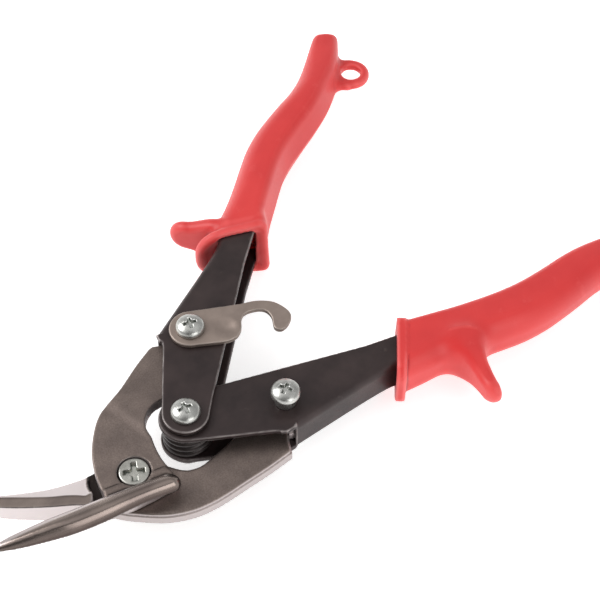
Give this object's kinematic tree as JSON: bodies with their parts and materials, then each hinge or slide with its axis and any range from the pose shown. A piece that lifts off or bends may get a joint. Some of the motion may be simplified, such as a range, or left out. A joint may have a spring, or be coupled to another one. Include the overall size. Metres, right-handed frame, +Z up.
{
  "type": "aviation snips",
  "caption": "Compound-action offset aviation snips for roofing and siding sheet, jaws sprung open, with dipped grips and a swinging hook latch.",
  "frame": {"origin": "centre of the bounding box seen from above, at the level of the lowest screw end", "axes": "+X from the grips to the jaw tips along the tool, +Z up along the pivot screws towards their heads, +Y towards the right grip"},
  "size_m": [0.2274, 0.1528, 0.0263],
  "materials": {
    "blade_steel": "satin cast and ground",
    "handle_steel": "black oxide, semi gloss",
    "grip_vinyl": "dipped vinyl, satin",
    "zinc": "bright zinc plate",
    "latch_steel": "plain rolled sheet",
    "dark_steel": "black oxide"
  },
  "bodies": {
    "lower_blade": {"lower_blade": "blade_steel", "blade_pivot_screw": "zinc", "blade_pivot_washer": "zinc", "blade_pivot_nut": "zinc"},
    "upper_blade": {"upper_blade": "blade_steel"},
    "left_handle": {"left_handle": "handle_steel", "left_grip": "grip_vinyl", "left_tang_screw": "zinc", "left_tang_lower_spacer": "dark_steel", "left_tang_upper_spacer": "dark_steel", "left_tang_nut": "zinc", "handle_pivot_screw": "zinc", "upper_pivot_washer": "dark_steel", "lower_pivot_washer": "dark_steel", "spring_sleeve": "dark_steel", "handle_spring": "dark_steel", "handle_pivot_nut": "zinc"},
    "right_handle": {"right_handle": "handle_steel", "right_grip": "grip_vinyl", "right_tang_stud": "zinc", "right_tang_spacer": "dark_steel", "right_tang_nut": "zinc"},
    "latch": {"latch": "latch_steel"}
  },
  "joints": [
    {"name": "blade_pivot", "type": "hinge", "parent": "lower_blade", "child": "upper_blade", "pos_m": [0.06717, 0, 0.0127], "axis": [0, 0, -1], "range_deg": [0, 20], "stiffness_Nm_per_rad": 1, "springref_deg": -20.05},
    {"name": "left_tang_pivot", "type": "hinge", "parent": "upper_blade", "child": "left_handle", "pos_m": [0.02138, -0.01906, 0.0127], "axis": [0, 0, -1], "range_deg": [0, 8.4], "deforming": ["handle_spring"]},
    {"name": "right_tang_pivot", "type": "hinge", "parent": "lower_blade", "child": "right_handle", "pos_m": [0.02138, 0.01906, 0.0127], "axis": [0, 0, 1], "range_deg": [0, 8.4]},
    {"name": "latch_pivot", "type": "hinge", "parent": "left_handle", "child": "latch", "pos_m": [0.02138, -0.01906, 0.0222], "axis": [0, 0, 1], "range_deg": [-30, 75]}
  ],
  "couplings": [
    {"joint": "left_tang_pivot", "follows": "blade_pivot", "ratio": 0.41532},
    {"joint": "right_tang_pivot", "follows": "blade_pivot", "ratio": 0.41532}
  ]
}
